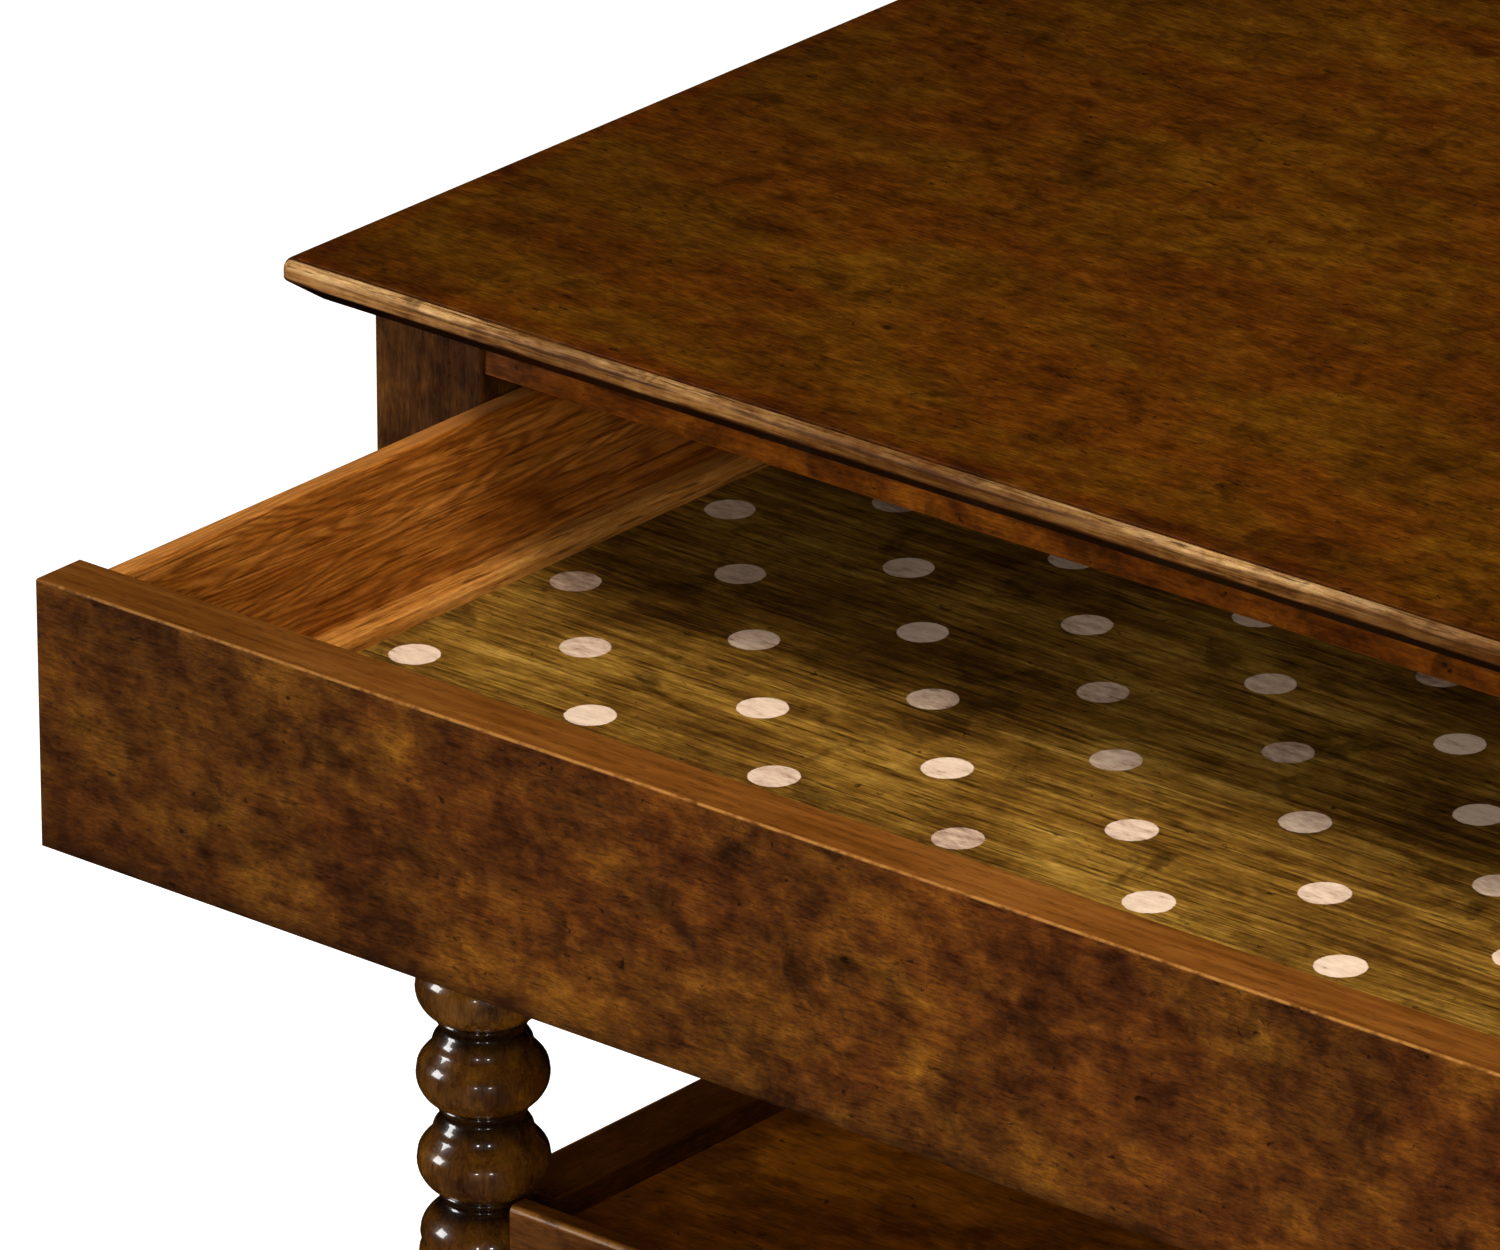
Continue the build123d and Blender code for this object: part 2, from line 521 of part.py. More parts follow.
def tails(y_root, y_end, z_lo, z_hi, n, x0, x1):
    """Dovetails that widen from y_root to y_end, run from x0 to x1."""
    pitch = (z_hi - z_lo) / n
    out = []
    for i in range(n):
        c = z_lo + pitch * (i + 0.5)
        half = pitch * 0.36
        flare = abs(y_end - y_root) / 7.0
        out.append(prism_x([(y_root, c - half), (y_root, c + half), (y_end, c + half + flare), (y_end, c - half - flare)], x0, x1))
    return out


yt = YFB - LAP
for tag, s in (("left", -1), ("right", 1)):
    x0, x1 = sorted((s * SIDE_X, s * (SIDE_X - SIDE_T)))
    side = box(x0, x1, YFB, YB, SIDE_BOT, SIDE_TOP)
    top_edges = [e for e in side.edges() if abs(e.center().Z - SIDE_TOP) < 0.01 and abs(e.tangent_at(0.5).Y) > 0.9]
    side = side.fillet(2.6, top_edges)
    # lapped dovetails at the front
    tf = tails(YFB, yt, SIDE_BOT + 6, SIDE_TOP - 5, 3, x0, x1)
    for t in tf:
        front = front - t
        side = side + t
    # through dovetails at the back: the drawer back's pins pass between the tails
    zb0, zb1 = PANEL_TOP, SIDE_TOP - 8.5
    pin_zone = box(x0, x1, YB - BACK_T, YB, zb0, zb1)
    for t in tails(YB - BACK_T, YB, zb0, zb1, 3, x0, x1):
        pin_zone = pin_zone - t
    side = side - pin_zone
    P["drawer_side_" + tag] = side
    P["_pins_" + tag] = pin_zone
bx = SIDE_X - SIDE_T
back = box(-bx, bx, YB - BACK_T, YB, PANEL_TOP, SIDE_TOP - 8.5)
back = back + P.pop("_pins_left") + P.pop("_pins_right")
tb = [e for e in back.edges() if abs(e.center().Z - (SIDE_TOP - 8.5)) < 0.01 and abs(e.tangent_at(0.5).X) > 0.9 and e.length > 200]
P["drawer_front"] = front

for tag, s in (("left", -1), ("right", 1)):
    x0, x1 = sorted((s * bx, s * (bx - SLIP_W)))
    sl = box(x0, x1, YFB, YB - BACK_T, SIDE_BOT, SLIP_TOP)
    e = [e for e in sl.edges() if abs(e.center().Z - SLIP_TOP) < 0.01 and abs(e.tangent_at(0.5).Y) > 0.9
         and abs(e.center().X - s * (bx - SLIP_W)) < 0.01]
    sl = sl.fillet(5.0, e)
    g0, g1 = sorted((s * (bx - SLIP_W) - s * 1, s * 430.0))
    sl = sl - box(g0, g1, YFB - 1, YB, PANEL_TOP - PANEL_T, PANEL_TOP)
    P["drawer_slip_" + tag] = sl
bottom = box(-430, 430, YFB - 6, YB - 2, PANEL_TOP - PANEL_T, PANEL_TOP)
# the panel narrows behind the slips, between the sides
bot_screws = []
for x in (-340.0, -115.0, 115.0, 340.0):
    p, d = (x, YB - BACK_T / 2, PANEL_TOP - PANEL_T), (0, 0, 1)
    q = cutter(p, d, 24.0)
    bottom = bottom - q
    back = back - q
    bot_screws.append((p, d, 24.0))
P["drawer_bottom"] = bottom
P["drawer_back"] = back
P["drawer_bottom_screws"] = Compound(children=[screw(*q) for q in bot_screws])

# ---------------------------------------------------------------------------
for name, shape in P.items():
    shape.label = name
    export_step(shape, "parts/" + name + ".step")
    s = shape.solids()
    bb = shape.bounding_box()
    print(name, len(s), "solids", round(sum(q.volume for q in s) / 1000, 1), "cm3",
          [round(v, 1) for v in (bb.min.X, bb.min.Y, bb.min.Z)], [round(v, 1) for v in (bb.max.X, bb.max.Y, bb.max.Z)])
print(len(P), "nodes")
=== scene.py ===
import math

import bpy
from mathutils import Matrix, Vector


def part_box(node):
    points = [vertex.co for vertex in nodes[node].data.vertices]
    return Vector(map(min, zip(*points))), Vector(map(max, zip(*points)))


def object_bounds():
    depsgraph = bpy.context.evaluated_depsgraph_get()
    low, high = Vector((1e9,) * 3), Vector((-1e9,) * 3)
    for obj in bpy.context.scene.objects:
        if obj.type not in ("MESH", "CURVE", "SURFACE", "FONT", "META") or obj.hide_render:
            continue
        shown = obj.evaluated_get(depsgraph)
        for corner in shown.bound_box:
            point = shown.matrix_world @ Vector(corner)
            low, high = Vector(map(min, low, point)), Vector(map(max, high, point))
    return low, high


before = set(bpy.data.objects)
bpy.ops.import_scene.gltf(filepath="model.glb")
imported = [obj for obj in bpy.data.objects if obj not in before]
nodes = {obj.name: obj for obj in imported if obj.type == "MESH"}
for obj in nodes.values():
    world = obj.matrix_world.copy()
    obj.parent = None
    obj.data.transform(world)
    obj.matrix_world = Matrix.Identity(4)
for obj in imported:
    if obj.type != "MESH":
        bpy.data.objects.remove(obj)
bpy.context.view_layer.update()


scene = bpy.context.scene


# ---------------------------------------------------------------- camera
def photo_camera():
    az, el, roll = math.radians(40.1725), math.radians(23.0573), math.radians(-0.116)
    back = Vector((math.sin(az) * math.cos(el), -math.cos(az) * math.cos(el), math.sin(el)))
    right = (-back).cross(Vector((0, 0, 1))).normalized()
    up = right.cross(-back)
    r = right * math.cos(roll) + up * math.sin(roll)
    u = -right * math.sin(roll) + up * math.cos(roll)
    cam = bpy.data.cameras.new("photo_camera")
    cam.sensor_fit, cam.sensor_width = "HORIZONTAL", 36.0
    cam.lens = 14272.55 * 36.0 / 1500.0
    cam.clip_start, cam.clip_end = 0.1, 200.0
    ob = bpy.data.objects.new("photo_camera", cam)
    scene.collection.objects.link(ob)
    m = Matrix((r, u, back)).transposed().to_4x4()
    m.translation = Vector((3.0619, -4.34373, 2.87656))
    ob.matrix_world = m
    scene.camera = ob
    return r, u, back


CAM_R, CAM_U, CAM_B = photo_camera()


# ---------------------------------------------------------------- node helpers
def lin(rgb):
    """sRGB 0-255 to linear."""
    out = []
    for c in rgb:
        c = c / 255.0
        out.append(c / 12.92 if c <= 0.04045 else ((c + 0.055) / 1.055) ** 2.4)
    return (*out, 1.0)


class Mat:
    def __init__(self, name, tint=(1.0, 1.0, 1.0)):
        self.tint = tint
        self.m = bpy.data.materials.new(name)
        self.m.use_nodes = True
        self.t = self.m.node_tree
        self.t.nodes.clear()
        self.out = self.t.nodes.new("ShaderNodeOutputMaterial")
        self.b = self.t.nodes.new("ShaderNodeBsdfPrincipled")
        self.t.links.new(self.b.outputs[0], self.out.inputs[0])
        self.p = self.t.nodes.new("ShaderNodeTexCoord").outputs["Object"]
        self.xyz = None

    def put(self, socket, value):
        if isinstance(value, bpy.types.NodeSocket):
            self.t.links.new(value, socket)
        else:
            socket.default_value = value

    def axis(self, k):
        if self.xyz is None:
            n = self.t.nodes.new("ShaderNodeSeparateXYZ")
            self.t.links.new(self.p, n.inputs[0])
            self.xyz = n.outputs
        return self.xyz[k]

    def lin(self, rgb):
        c = lin(rgb)
        return (*(min(1.0, c[k] * self.tint[k]) for k in range(3)), 1.0)

    def math(self, op, a, b=0.0, c=0.0, clamp=False):
        n = self.t.nodes.new("ShaderNodeMath")
        n.operation, n.use_clamp = op, clamp
        for s, v in zip(n.inputs, (a, b, c)):
            self.put(s, v)
        return n.outputs[0]

    def vec(self, scale, offset=(0, 0, 0), src=None):
        n = self.t.nodes.new("ShaderNodeMapping")
        n.vector_type = "POINT"
        self.put(n.inputs["Vector"], src or self.p)
        n.inputs["Scale"].default_value = scale
        n.inputs["Location"].default_value = offset
        return n.outputs[0]

    def noise(self, v, scale=1.0, detail=4.0, rough=0.55, distort=0.0, lac=2.0):
        n = self.t.nodes.new("ShaderNodeTexNoise")
        self.put(n.inputs["Vector"], v)
        for k, x in (("Scale", scale), ("Detail", detail), ("Roughness", rough), ("Distortion", distort), ("Lacunarity", lac)):
            n.inputs[k].default_value = x
        return n.outputs[0]

    def voronoi(self, v, scale=1.0, feature="F1", random=1.0):
        n = self.t.nodes.new("ShaderNodeTexVoronoi")
        n.feature = feature
        self.put(n.inputs["Vector"], v)
        n.inputs["Scale"].default_value = scale
        n.inputs["Randomness"].default_value = random
        return n.outputs

    def remap(self, v, a, b, lo=0.0, hi=1.0, smooth=True):
        n = self.t.nodes.new("ShaderNodeMapRange")
        n.interpolation_type = "SMOOTHSTEP" if smooth else "LINEAR"
        for k, x in zip(("Value", "From Min", "From Max", "To Min", "To Max"), (v, a, b, lo, hi)):
            self.put(n.inputs[k], x)
        return n.outputs[0]

    def ramp(self, fac, stops):
        n = self.t.nodes.new("ShaderNodeValToRGB")
        r = n.color_ramp
        r.elements[0].position, r.elements[0].color = stops[0][0], self.lin(stops[0][1])
        r.elements[1].position, r.elements[1].color = stops[-1][0], self.lin(stops[-1][1])
        for pos, col in stops[1:-1]:
            e = r.elements.new(pos)
            e.color = self.lin(col)
        self.put(n.inputs[0], fac)
        return n.outputs[0]

    def mix(self, fac, a, b, mode="MIX"):
        n = self.t.nodes.new("ShaderNodeMix")
        n.data_type, n.blend_type = "RGBA", mode
        self.put(n.inputs[0], fac)
        self.put(n.inputs[6], a if isinstance(a, bpy.types.NodeSocket) else self.lin(a))
        self.put(n.inputs[7], b if isinstance(b, bpy.types.NodeSocket) else self.lin(b))
        return n.outputs[2]

    def near(self, k, at, width):
        """1 at the plane axis k = at, falling to 0 at width from it."""
        d = self.math("ABSOLUTE", self.math("SUBTRACT", self.axis(k), at))
        return self.remap(d, width * 0.35, width, 1.0, 0.0)

    def bump(self, height, strength, distance):
        n = self.t.nodes.new("ShaderNodeBump")
        n.inputs["Strength"].default_value = strength
        n.inputs["Distance"].default_value = distance
        self.put(n.inputs["Height"], height)
        self.put(self.b.inputs["Normal"], n.outputs[0])

    def finish(self, colour, rough=0.45, coat=0.0, coat_rough=0.1, spec=0.05, metal=0.0):
        self.put(self.b.inputs["Base Color"], colour)
        self.put(self.b.inputs["Roughness"], rough)
        if not self.b.inputs["Coat Weight"].is_linked:
            self.b.inputs["Coat Weight"].default_value = coat
        self.b.inputs["Coat Roughness"].default_value = coat_rough
        self.b.inputs["Specular IOR Level"].default_value = spec
        self.b.inputs["Metallic"].default_value = metal
        return self.m


def along(axis, stretch, scale):
    """Texture scale with the pattern drawn out along one axis."""
    return tuple(scale / stretch if k == axis else scale for k in range(3))


def wood(m, axis, ramp, seed=0.0, cloud=14.0, cloud_stretch=1.6, streak=150.0, streak_stretch=14.0,
         pore=620.0, pore_stretch=12.0, w=(0.5, 0.25, 0.25), pore_depth=0.35, specks=0.0, speck_col=(14, 6, 1),
         gain=1.9, red=None, fibre=0.22, blotch=0.0):
    """Stained open-pored wood: cloudy stain, streaks along the grain, fine fibres, short dark pores, dark specks.
    red is a second palette that the stain drifts towards. Returns (colour, pores, streaks, figure)."""
    off = (seed * 3.1, seed * 1.7, seed * 2.3)
    warp = m.noise(m.vec(along(axis, 3.0, 9.0), off), 1.0, 2.0, 0.5)
    cloud_a = m.noise(m.vec(along(axis, cloud_stretch, cloud), off), 1.0, 8.0, 0.66, 0.5)
    cloud_b = m.noise(m.vec(along(axis, 1.4, cloud * 5.0), off), 1.0, 6.0, 0.66, 0.3)
    bent = m.t.nodes.new("ShaderNodeVectorMath")
    bent.operation = "MULTIPLY_ADD"
    m.put(bent.inputs[0], warp)
    bent.inputs[1].default_value = (0.006, 0.006, 0.006)
    m.put(bent.inputs[2], m.p)
    band = m.noise(m.vec(along(axis, streak_stretch, streak), off, bent.outputs[0]), 1.0, 5.0, 0.64)
    line = m.noise(m.vec(along(axis, streak_stretch * 1.5, streak * 3.4), off, bent.outputs[0]), 1.0, 4.0, 0.66)
    grain = m.math("ADD", m.math("MULTIPLY", band, 0.5), m.math("MULTIPLY", line, 0.5))
    fig = m.math("ADD", m.math("MULTIPLY", cloud_a, w[0]), m.math("MULTIPLY", cloud_b, w[1]))
    fig = m.math("ADD", fig, m.math("MULTIPLY", grain, w[2]))
    fig = m.math("ADD", m.math("MULTIPLY", m.math("SUBTRACT", fig, 0.5), gain), 0.52)
    colour = m.ramp(fig, ramp)
    if red:
        drift = m.noise(m.vec(along(axis, 1.5, cloud * 0.8), (off[1], off[2], off[0])), 1.0, 5.0, 0.6, 0.6)
        colour = m.mix(m.remap(drift, 0.40, 0.60), colour, m.ramp(fig, red))
    if fibre:
        f = m.noise(m.vec(along(axis, 7.0, 900.0), off, bent.outputs[0]), 1.0, 3.0, 0.7)
        lift = m.remap(f, 0.30, 0.70, 1.0 - fibre * 1.6, 1.0 + fibre * 1.6, False)
        grey = m.t.nodes.new("ShaderNodeCombineColor")
        for k in range(3):
            m.put(grey.inputs[k], lift)
        colour = m.mix(1.0, colour, grey.outputs[0], "MULTIPLY")
    if blotch:
        bl = m.noise(m.vec(along(axis, 1.2, cloud * 1.9), (off[2], off[0], off[1])), 1.0, 7.0, 0.62, 0.8)
        colour = m.mix(m.math("MULTIPLY", m.remap(bl, 0.54, 0.66), blotch), colour, speck_col)
    pores = m.noise(m.vec(along(axis, pore_stretch, pore), off, bent.outputs[0]), 1.0, 3.0, 0.6)
    pores = m.remap(pores, 0.54, 0.68)
    colour = m.mix(m.math("MULTIPLY", pores, pore_depth), colour, speck_col)
    if specks:
        s = m.noise(m.vec(along(axis, 1.8, 210.0), off), 1.0, 5.0, 0.62, 0.5)
        s = m.remap(s, 0.63, 0.70)
        colour = m.mix(m.math("MULTIPLY", s, specks), colour, speck_col)
    return colour, pores, grain, fig


def surface(m, colour, pores, grain, rough=(0.34, 0.5), bump=0.25, depth=0.0004, **kw):
    r = m.remap(m.math("ADD", m.math("MULTIPLY", grain, 0.6), m.math("MULTIPLY", pores, 0.5)), 0.15, 0.8, rough[0], rough[1], False)
    h = m.math("SUBTRACT", m.math("MULTIPLY", grain, 0.5), m.math("MULTIPLY", pores, 0.8))
    m.bump(h, bump, depth)
    return m.finish(colour, r, **kw)


def give(names, mat):
    for n in names:
        ob = nodes[n]
        ob.data.materials.clear() if not len(ob.material_slots) else None
        if not len(ob.material_slots):
            ob.data.materials.append(mat)
        for s in ob.material_slots:
            s.material = mat


# ---------------------------------------------------------------- stains
TOP_RAMP = [(0.10, (40, 16, 2)), (0.34, (68, 34, 5)), (0.52, (90, 49, 8)), (0.70, (112, 66, 14)), (0.92, (140, 90, 28))]
TOP_RED = [(0.10, (38, 13, 2)), (0.34, (64, 28, 5)), (0.52, (88, 42, 7)), (0.70, (110, 57, 12)), (0.92, (138, 80, 24))]
FRONT_RAMP = [(0.10, (36, 16, 2)), (0.34, (66, 34, 5)), (0.52, (94, 55, 9)), (0.70, (122, 78, 20)), (0.92, (152, 106, 40))]
FRONT_RED = [(0.10, (30, 11, 1)), (0.34, (58, 26, 3)), (0.52, (84, 43, 6)), (0.70, (110, 62, 12)), (0.92, (140, 86, 26))]
RAIL_RAMP = [(0.10, (18, 6, 1)), (0.34, (38, 16, 2)), (0.52, (62, 31, 5)), (0.70, (84, 48, 10)), (0.92, (112, 70, 24))]
LEG_RAMP = [(0.10, (22, 8, 2)), (0.34, (48, 22, 4)), (0.52, (82, 46, 10)), (0.70, (114, 70, 20)), (0.92, (148, 98, 36))]
SHELF_RAMP = [(0.10, (30, 12, 1)), (0.34, (56, 28, 4)), (0.52, (80, 44, 8)), (0.70, (102, 60, 15)), (0.92, (128, 82, 28))]
OAK_RAMP = [(0.10, (92, 42, 8)), (0.34, (128, 70, 20)), (0.52, (156, 94, 34)), (0.70, (180, 116, 52)), (0.92, (204, 142, 76))]
SLIP_RAMP = [(0.10, (104, 56, 16)), (0.34, (146, 92, 36)), (0.52, (176, 120, 56)), (0.70, (198, 144, 78)), (0.92, (216, 168, 104))]
PLAIN_RAMP = [(0.10, (102, 62, 26)), (0.34, (136, 90, 42)), (0.52, (160, 114, 60)), (0.70, (180, 136, 80)), (0.92, (200, 160, 106))]
OLIVE_RAMP = [(0.10, (34, 18, 4)), (0.34, (68, 44, 12)), (0.52, (104, 74, 24)), (0.70, (138, 106, 42)), (0.92, (176, 142, 72))]


def walnut(name, axis, ramp=RAIL_RAMP, seed=0.0, edges=(), worn=(150, 104, 56), tint=(1.0, 1.0, 1.0), **kw):
    """Mottled dark stain, rubbed through on the arrises named in edges: (axis a, at a, axis b, at b, width)."""
    opts = dict(w=(0.48, 0.28, 0.24), specks=0.55, gain=2.2)
    finish = dict(rough=(0.30, 0.46), bump=0.22, depth=0.0003)
    for k in list(kw):
        (finish if k in ("rough", "bump", "depth", "coat", "coat_rough", "spec") else opts)[k] = kw[k]
    m = Mat(name, tint)
    colour, pores, grain, fig = wood(m, axis, ramp, seed, **opts)
    for a, at_a, b, at_b, width in edges:
        n = m.noise(m.vec((60, 60, 60), (seed, 0, 0)), 1.0, 5.0, 0.65)
        keep = m.remap(n, 0.36, 0.56)
        mask = m.math("MULTIPLY", m.near(a, at_a, width), m.near(b, at_b, width))
        colour = m.mix(m.math("MULTIPLY", mask, keep), colour, worn)
    return surface(m, colour, pores, grain, **finish)


# ---------------------------------------------------------------- table materials
def top_stain(m):
    return wood(m, 0, TOP_RAMP, 1.0, cloud=20.0, cloud_stretch=2.4, streak=190.0, streak_stretch=8.0, pore=800.0,
                pore_stretch=8.0, w=(0.32, 0.42, 0.26), specks=0.7, gain=1.9, fibre=0.28, red=TOP_RED, blotch=0.42)


def top_material():
    (x0, y0, z0), (x1, y1, z1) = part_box("top_panel")
    m = Mat("mottled_walnut_top", (0.70, 0.74, 0.46))
    colour, pores, grain, fig = top_stain(m)
    # painted darker toward the left end
    colour = m.mix(m.remap(m.axis(0), x0, x0 + 0.27, 0.30, 0.0), colour, (22, 9, 2))
    # painted shade on the panel's edge below the lipping
    painted_underside_shade = m.remap(m.axis(2), z1 - 0.0100, z1 - 0.0085, 1.0, 0.0)
    colour = m.mix(m.math("MULTIPLY", painted_underside_shade, 0.72), colour, (10, 4, 1))
    return surface(m, colour, pores, grain, rough=(0.36, 0.52), bump=0.2, depth=0.0003)


give(["top_panel"], top_material())


def edge_material(name, axis, seed):
    """The lipping round the top: pale band on its upper half, partly wear and partly painted light, darker streaked
    band below, dirt in the quirk, painted shade toward its underside.
    """
    (x0, y0, z0), (x1, y1, z1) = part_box(name)
    m = Mat("worn_edge_painted_light_and_shade_" + name, (0.54, 0.47, 0.38))
    ramp = [(0.28, (84, 52, 22)), (0.40, (136, 96, 52)), (0.50, (178, 136, 86)), (0.60, (204, 164, 112)), (0.74, (222, 190, 142))]
    colour, pores, grain, fig = wood(m, axis, ramp, seed, cloud=22.0, cloud_stretch=4.0, streak=330.0, streak_stretch=22.0,
                                     pore=900.0, pore_stretch=16.0, w=(0.36, 0.18, 0.46), pore_depth=0.8, speck_col=(34, 15, 3),
                                     gain=2.8, blotch=0.55)
    low = [(0.30, (60, 34, 12)), (0.42, (98, 62, 28)), (0.52, (136, 94, 48)), (0.62, (164, 120, 68)), (0.74, (186, 146, 92))]
    dark = m.ramp(fig, low)
    wob = m.math("MULTIPLY", m.math("SUBTRACT", m.noise(m.vec(along(axis, 3.0, 60.0)), 1.0, 3.0), 0.5), 0.004)
    z = m.math("ADD", m.axis(2), wob)
    # pale upper band: partly wear, partly painted light on the upward face
    colour = m.mix(m.remap(z, 0.7575, 0.7600), dark, colour)
    seam = m.remap(m.math("ABSOLUTE", m.math("SUBTRACT", z, 0.7577)), 0.0002, 0.0009, 1.0, 0.0)
    broken = m.remap(m.noise(m.vec(along(axis, 6.0, 90.0), (seed, 2, 8)), 1.0, 4.0, 0.6), 0.40, 0.56)
    colour = m.mix(m.math("MULTIPLY", m.math("MULTIPLY", seam, broken), 0.75), colour, (46, 22, 5))
    patch = m.remap(m.noise(m.vec(along(axis, 2.2, 16.0), (seed, 5, 3)), 1.0, 4.0, 0.6), 0.42, 0.60)
    colour = m.mix(m.math("MULTIPLY", patch, 0.62), colour, (84, 48, 14))
    # inside the quirk the lipping carries the same stain as the panel
    tw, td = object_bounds()[1].x - 0.0039, 0.381 - 0.0039
    flat = m.math("MULTIPLY", m.remap(m.math("ABSOLUTE", m.axis(0)), tw - 0.0004, tw + 0.0004, 1.0, 0.0),
                  m.remap(m.math("ABSOLUTE", m.axis(1)), td - 0.0004, td + 0.0004, 1.0, 0.0))
    flat = m.math("MULTIPLY", flat, m.remap(m.axis(2), 0.7600, 0.7605))
    colour = m.mix(flat, colour, top_stain(m)[0])
    # painted shade: darker toward the lower part and underside of the lipping
    colour = m.mix(m.remap(z, 0.7530, 0.7545, 1.0, 0.0), colour, (60, 32, 10))
    painted_underside_shade = m.remap(m.axis(2), 0.7526, 0.7532, 1.0, 0.0)
    colour = m.mix(m.math("MULTIPLY", painted_underside_shade, 0.85), colour, (10, 4, 1))
    return surface(m, colour, pores, grain, rough=(0.34, 0.5), bump=0.35, depth=0.0004)


for n, ax, sd in (("top_edge_front", 0, 2.0), ("top_edge_back", 0, 3.0), ("top_edge_left", 1, 4.0), ("top_edge_right", 1, 5.0)):
    give([n], edge_material(n, ax, sd))


def leg_material():
    """Turned, lacquered walnut: dirt and painted shade darken the creases, the bulbs are rubbed lighter."""
    m = Mat("turned_walnut", (0.60, 0.60, 0.34))
    colour, pores, grain, fig = wood(m, 2, LEG_RAMP, 6.0, cloud=26.0, cloud_stretch=1.8, streak=240.0, streak_stretch=10.0,
                                     pore=700.0, w=(0.50, 0.32, 0.18), pore_depth=0.16, specks=0.35, gain=1.9)
    # dirt and painted shade in the creases, darker where the turned radius is small
    dx = m.math("SUBTRACT", m.math("ABSOLUTE", m.axis(0)), 0.4765)
    dy = m.math("SUBTRACT", m.math("ABSOLUTE", m.axis(1)), 0.3240)
    r = m.math("SQRT", m.math("ADD", m.math("MULTIPLY", dx, dx), m.math("MULTIPLY", dy, dy)))
    r = m.math("ADD", r, m.math("MULTIPLY", m.math("SUBTRACT", cloud_of(m), 0.5), 0.0026))
    dirt_and_shade = m.remap(r, 0.0180, 0.0236, 0.90, 0.0)
    colour = m.mix(dirt_and_shade, colour, (10, 4, 1))
    block = m.remap(m.axis(2), 0.5795, 0.5815)
    shade = m.t.nodes.new("ShaderNodeCombineColor")
    for k, v in enumerate((0.86, 0.78, 0.50)):
        m.put(shade.inputs[k], m.remap(block, 0.0, 1.0, 1.0, v, False))
    colour = m.mix(1.0, colour, shade.outputs[0], "MULTIPLY")
    m.put(m.b.inputs["Coat Weight"], m.remap(block, 0.0, 1.0, 0.75, 0.05, False))
    return surface(m, colour, pores, grain, rough=(0.24, 0.36), bump=0.07, depth=0.0002, coat=0.7, coat_rough=0.05, spec=0.25)


def cloud_of(m):
    return m.noise(m.vec((80, 80, 80)), 1.0, 3.0, 0.6)


give(["leg_front_left", "leg_front_right", "leg_back_left", "leg_back_right"], leg_material())

(rx0, ry0, rz0), (rx1, ry1, rz1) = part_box("rail_front_upper")
give(["rail_front_upper"], walnut("mottled_walnut_rail_upper", 0, RAIL_RAMP, 7.0, cloud=16.0, cloud_stretch=1.2, specks=0.9, tint=(2.2, 1.9, 1.2), blotch=0.5,
                                  worn=(70, 38, 10), edges=[(1, ry0, 2, rz0, 0.0010)]))
(rx0, ry0, rz0), (rx1, ry1, rz1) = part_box("rail_front_lower")
give(["rail_front_lower"], walnut("mottled_walnut_rail_lower", 0, RAIL_RAMP, 8.0, edges=[(1, ry0, 2, rz0, 0.0012)]))
for n, ax, sd in (("apron_left", 1, 9.0), ("apron_right", 1, 10.0), ("apron_back", 0, 11.0)):
    lo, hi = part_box(n)
    other = 0 if ax == 1 else 1
    outer = lo[other] if n == "apron_left" else hi[other]
    give([n], walnut("mottled_walnut_" + n, ax, FRONT_RAMP, sd, cloud=17.0, cloud_stretch=1.6, red=FRONT_RED, tint=(0.62, 0.5, 0.3), blotch=0.4,
                     edges=[(other, outer, 2, lo.z, 0.0014)]))


def shelf_rail_material(n, ax, sd):
    lo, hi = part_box(n)
    other = 1 if ax == 0 else 0
    outer = {"shelf_rail_front": lo.y, "shelf_rail_back": hi.y, "shelf_rail_left": lo.x, "shelf_rail_right": hi.x}[n]
    m = Mat("mottled_walnut_" + n, (0.90, 0.85, 0.60))
    colour, pores, grain, fig = wood(m, ax, RAIL_RAMP, sd, cloud=18.0, cloud_stretch=1.8, streak=190.0, w=(0.46, 0.28, 0.26), specks=0.7)
    # pale band along the outer top arris: partly wear, partly a painted highlight of the arris gloss
    n1 = m.noise(m.vec((70, 70, 70), (sd, 0, 0)), 1.0, 5.0, 0.65)
    d = m.math("ABSOLUTE", m.math("SUBTRACT", m.axis(other), outer))
    rub = m.math("MULTIPLY", m.remap(d, 0.0012, 0.0030, 1.0, 0.0), m.remap(m.axis(2), hi.z - 0.0030, hi.z - 0.0012))
    colour = m.mix(m.math("MULTIPLY", rub, m.remap(n1, 0.38, 0.58, 0.05, 0.85)), colour, (140, 96, 46))
    # top face painted paler, as lit from above: painted light
    top = m.remap(m.axis(2), hi.z - 0.0012, hi.z - 0.0002)
    colour = m.mix(m.math("MULTIPLY", top, 0.30), colour, (92, 52, 16))
    return surface(m, colour, pores, grain, spec=0.22, rough=(0.24, 0.38), bump=0.22, depth=0.0003)


for n, ax, sd in (("shelf_rail_front", 0, 12.0), ("shelf_rail_back", 0, 13.0), ("shelf_rail_left", 1, 14.0), ("shelf_rail_right", 1, 15.0)):
    give([n], shelf_rail_material(n, ax, sd))
give(["shelf_panel"], walnut("mottled_walnut_shelf", 0, SHELF_RAMP, 16.0, cloud=15.0, cloud_stretch=1.5, specks=0.8, tint=(2.2, 2.1, 1.2), blotch=0.4,
                             rough=(0.40, 0.56)))


